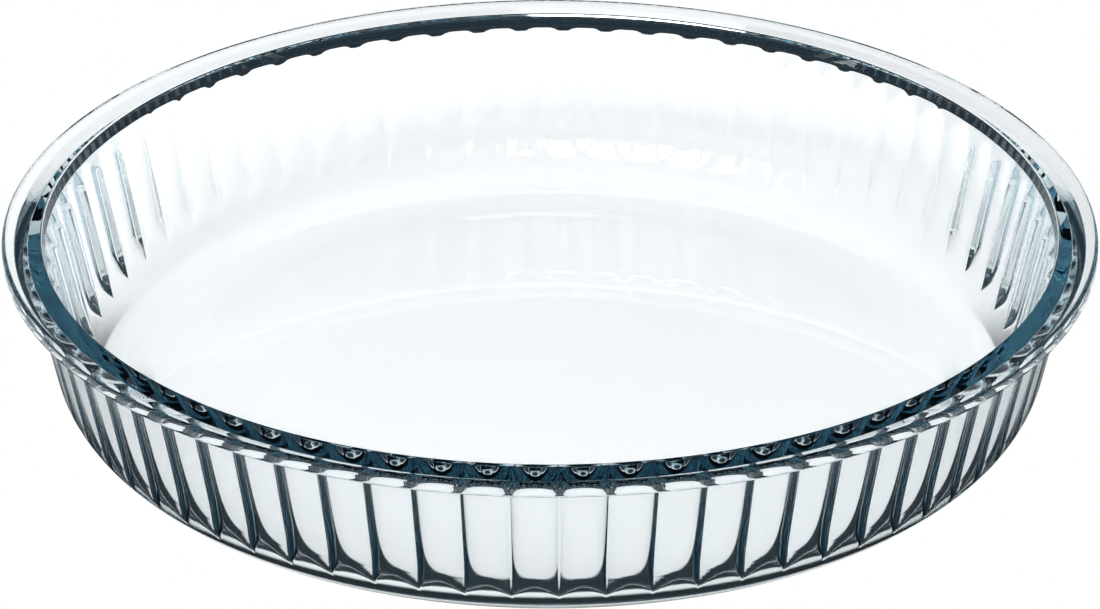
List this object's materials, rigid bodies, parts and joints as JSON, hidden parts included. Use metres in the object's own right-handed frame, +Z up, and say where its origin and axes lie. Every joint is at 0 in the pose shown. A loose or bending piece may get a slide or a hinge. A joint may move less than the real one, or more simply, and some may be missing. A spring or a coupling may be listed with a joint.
{
  "type": "fluted glass pie dish",
  "caption": "Round pie dish of clear pressed glass with an outward-leaning wall, fluted inside, a flat rim and a base that stands on a low foot ring.",
  "frame": {"origin": "centre of the base, on the surface that the dish stands on", "axes": "+Z up along the dish's axis; -Y is the side that faced the camera; a ridge between two flutes lies one degree from -Y"},
  "size_m": [0.28, 0.28, 0.048],
  "materials": {
    "clear_glass": "clear heat-resistant glass, fire-polished after pressing"
  },
  "bodies": {
    "root": {"glass_dish": "clear_glass"}
  },
  "joints": []
}
